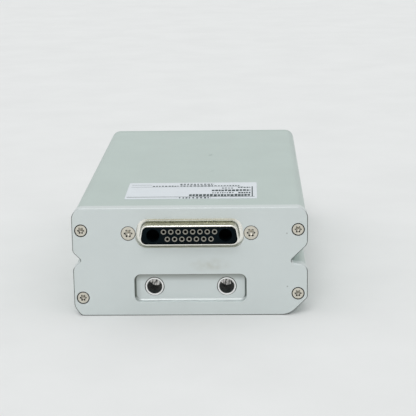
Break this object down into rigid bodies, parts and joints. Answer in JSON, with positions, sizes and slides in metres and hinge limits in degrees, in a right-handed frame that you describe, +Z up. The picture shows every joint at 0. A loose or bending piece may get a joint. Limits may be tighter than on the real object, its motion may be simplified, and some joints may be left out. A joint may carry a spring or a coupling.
{
  "type": "lidar scanner module",
  "caption": "Scanning lidar module: extruded aluminium case with keyed side grooves, a blind-mating rear connector with guide bores, a dark front window, and a motor-driven polygon mirror.",
  "frame": {"origin": "middle of the footprint, on the underside of the case", "axes": "+X to the right when facing the rear connector plate, +Y from the connector plate to the optical window, +Z up"},
  "size_m": [0.0904, 0.1616, 0.0431],
  "materials": {
    "case_aluminium": "fine bead-blasted clear anodised aluminium",
    "plate_aluminium": "fine bead-blasted clear anodised aluminium",
    "seal_rubber": "matte black rubber",
    "screw_steel": "nickel-plated steel, warm tint",
    "bush_steel": "turned stainless steel",
    "label_paper": "satin coated label stock",
    "shell_nickel": "bright nickel-plated steel",
    "insulator_plastic": "black moulded plastic",
    "contact_metal": "bright plated contact metal",
    "board_green": "green solder mask on glass-epoxy",
    "window_dark": "polished infrared-pass plastic, near black",
    "chassis_black": "matte black anodised aluminium",
    "standoff_brass": "turned brass",
    "chip_black": "black epoxy moulding",
    "capacitor_ceramic": "tan ceramic",
    "ferrite_grey": "dark sintered ferrite",
    "capacitor_can": "bright drawn aluminium",
    "ribbon_film": "amber polyimide film",
    "sleeve_bronze": "oil-filled sintered bronze",
    "thrust_plastic": "hard natural plastic",
    "motor_steel": "zinc-plated and laminated steel",
    "coil_copper": "enamelled copper wire",
    "ground_steel": "ground steel",
    "hub_aluminium": "turned aluminium",
    "mirror_facets": "diamond-turned, gold-coated facets",
    "lens_glass": "polished coated glass",
    "filter_glass": "coated filter glass",
    "can_metal": "gold-plated header and can"
  },
  "bodies": {
    "housing": {"case_tube": "case_aluminium", "front_bezel": "case_aluminium", "rear_plate": "plate_aluminium", "rear_plate_seal": "seal_rubber", "front_bezel_seal": "seal_rubber", "window_seal": "seal_rubber", "rear_plate_screws": "screw_steel", "front_bezel_screws": "screw_steel", "connector_screws": "screw_steel", "chassis_screws": "screw_steel", "board_screws": "screw_steel", "lens_block_screws": "screw_steel", "guide_bush_left": "bush_steel", "guide_bush_right": "bush_steel", "type_label": "label_paper", "connector_shell": "shell_nickel", "connector_rear_shell": "shell_nickel", "connector_nuts": "shell_nickel", "connector_insulator": "insulator_plastic", "board_header": "insulator_plastic", "board_connectors": "insulator_plastic", "encoder_sensor": "insulator_plastic", "scan_start_sensor": "insulator_plastic", "signal_contacts": "contact_metal", "connector_board": "board_green", "main_board": "board_green", "power_board": "board_green", "optics_board": "board_green", "sensor_board": "board_green", "window": "window_dark", "optical_chassis": "chassis_black", "lens_block": "chassis_black", "lens_retaining_ring": "chassis_black", "light_baffle": "chassis_black", "board_standoffs": "standoff_brass", "collimator_barrel": "standoff_brass", "processor_chip": "chip_black", "memory_chips": "chip_black", "chip_capacitors": "capacitor_ceramic", "power_inductors": "ferrite_grey", "smoothing_capacitors": "capacitor_can", "optics_ribbon": "ribbon_film", "bearing_sleeve": "sleeve_bronze", "thrust_plate": "thrust_plastic", "stator_core": "motor_steel", "stator_coils": "coil_copper", "receiver_lens": "lens_glass", "collimator_lens": "lens_glass", "bandpass_filter": "filter_glass", "laser_diode": "can_metal", "light_detector": "can_metal"},
    "rotor": {"motor_shaft": "ground_steel", "rotor_hub": "hub_aluminium", "rotor_cup": "motor_steel", "rotor_magnet": "ferrite_grey", "encoder_disc": "ground_steel", "polygon_mirror": "mirror_facets", "mirror_clamp": "ground_steel", "clamp_screws": "screw_steel"}
  },
  "joints": [
    {"name": "mirror_spin", "type": "hinge", "parent": "housing", "child": "rotor", "pos_m": [0, 0.038, 0.0278], "axis": [0, 0, 1], "continuous": true}
  ]
}
